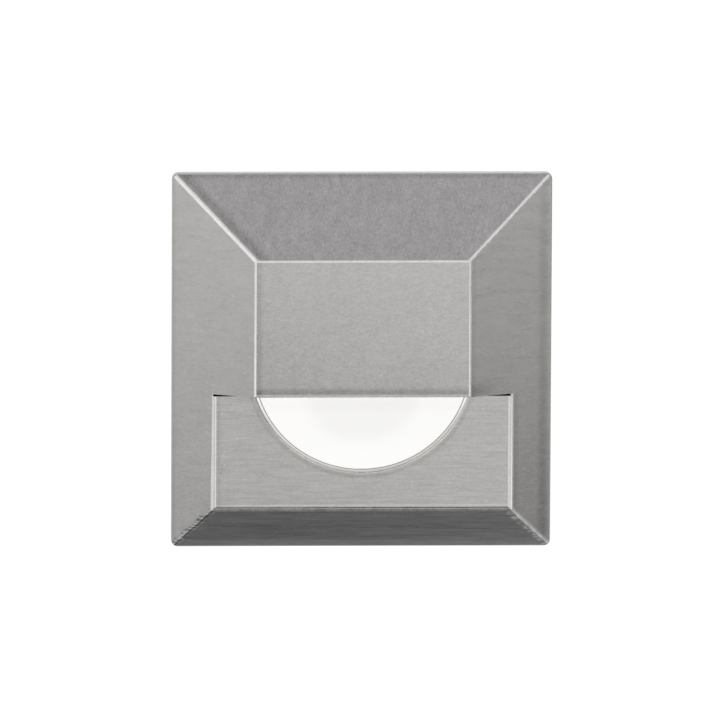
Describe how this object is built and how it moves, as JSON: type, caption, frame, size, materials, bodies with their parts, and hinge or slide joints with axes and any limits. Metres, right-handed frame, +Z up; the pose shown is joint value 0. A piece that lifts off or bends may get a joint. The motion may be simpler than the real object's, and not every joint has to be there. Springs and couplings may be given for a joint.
{
  "type": "recessed step light",
  "caption": "Square bevelled steel faceplate with a hooded half-moon lens, on a round sealed body with an LED, a driver and sprung retaining wings.",
  "frame": {"origin": "on the light's own axis, in the plane of the wall's surface, which the back of the wall gasket lies on", "axes": "+Z up, +Y into the wall along the body's axis, the face looks toward -Y, +X to the right as seen from the room"},
  "size_m": [0.057, 0.0649, 0.057],
  "materials": {
    "faceplate": "brushed stainless steel, burnished along the folds",
    "gasket": "matt black EPDM",
    "lens": "frosted opal polycarbonate",
    "silicone": "translucent silicone",
    "o_ring": "smooth black nitrile",
    "reflector": "bright white moulding",
    "led_board": "white solder mask on aluminium",
    "led": "phosphor in a white package",
    "thermal_pad": "soft grey silicone",
    "heat_sink": "extruded, satin anodised",
    "body": "turned aluminium, fine tool marks",
    "screw": "stainless steel",
    "driver_board": "green glass-fibre laminate",
    "terminal_block": "green polyamide",
    "plated": "zinc plated",
    "capacitor": "shrunk sleeve",
    "film_capacitor": "ochre epoxy box",
    "chip": "moulded epoxy",
    "ferrite": "sintered ferrite",
    "copper": "enamelled copper wire",
    "lead_red": "insulated flexible lead",
    "lead_black": "insulated flexible lead",
    "rear_cap": "turned aluminium",
    "gland": "black polyamide",
    "gland_seal": "black rubber",
    "bracket": "pressed stainless sheet",
    "pin": "drawn stainless wire",
    "wing": "pressed spring steel",
    "spring": "drawn spring wire"
  },
  "bodies": {
    "light": {"faceplate": "faceplate", "wall_gasket": "gasket", "lens": "lens", "lens_gasket": "silicone", "face_o_ring": "o_ring", "reflector": "reflector", "led_board": "led_board", "led_packages": "led", "led_board_screws": "screw", "thermal_pad": "thermal_pad", "heat_sink": "heat_sink", "body": "body", "face_screws": "screw", "driver_board": "driver_board", "driver_board_screws": "screw", "terminal_block": "terminal_block", "terminal_screws": "plated", "capacitor": "capacitor", "film_capacitor": "film_capacitor", "rectifier": "chip", "driver_chip": "chip", "inductor_core": "ferrite", "inductor_winding": "copper", "lead_red": "lead_red", "lead_black": "lead_black", "rear_cap": "rear_cap", "cap_o_ring": "o_ring", "cap_screws": "screw", "gland_washer": "gasket", "gland_body": "gland", "gland_locknut": "gland", "gland_seal": "gland_seal", "gland_nut": "gland", "bracket_right": "bracket", "bracket_screws_right": "screw", "hinge_pin_right": "pin", "wing_spring_right": "spring", "bracket_left": "bracket", "bracket_screws_left": "screw", "hinge_pin_left": "pin", "wing_spring_left": "spring"},
    "wing_r": {"wing_right": "wing"},
    "wing_l": {"wing_left": "wing"}
  },
  "joints": [
    {"name": "right_wing_fold", "type": "hinge", "parent": "light", "child": "wing_r", "pos_m": [0.0215, 0.026, 0], "axis": [0, 0, -1], "range_deg": [0, 20], "stiffness_Nm_per_rad": 0.0128, "springref_deg": -20.05, "deforming": ["wing_spring_right"]},
    {"name": "left_wing_fold", "type": "hinge", "parent": "light", "child": "wing_l", "pos_m": [-0.0215, 0.026, 0], "axis": [0, 0, 1], "range_deg": [0, 20], "stiffness_Nm_per_rad": 0.0128, "springref_deg": -20.05, "deforming": ["wing_spring_left"]}
  ]
}
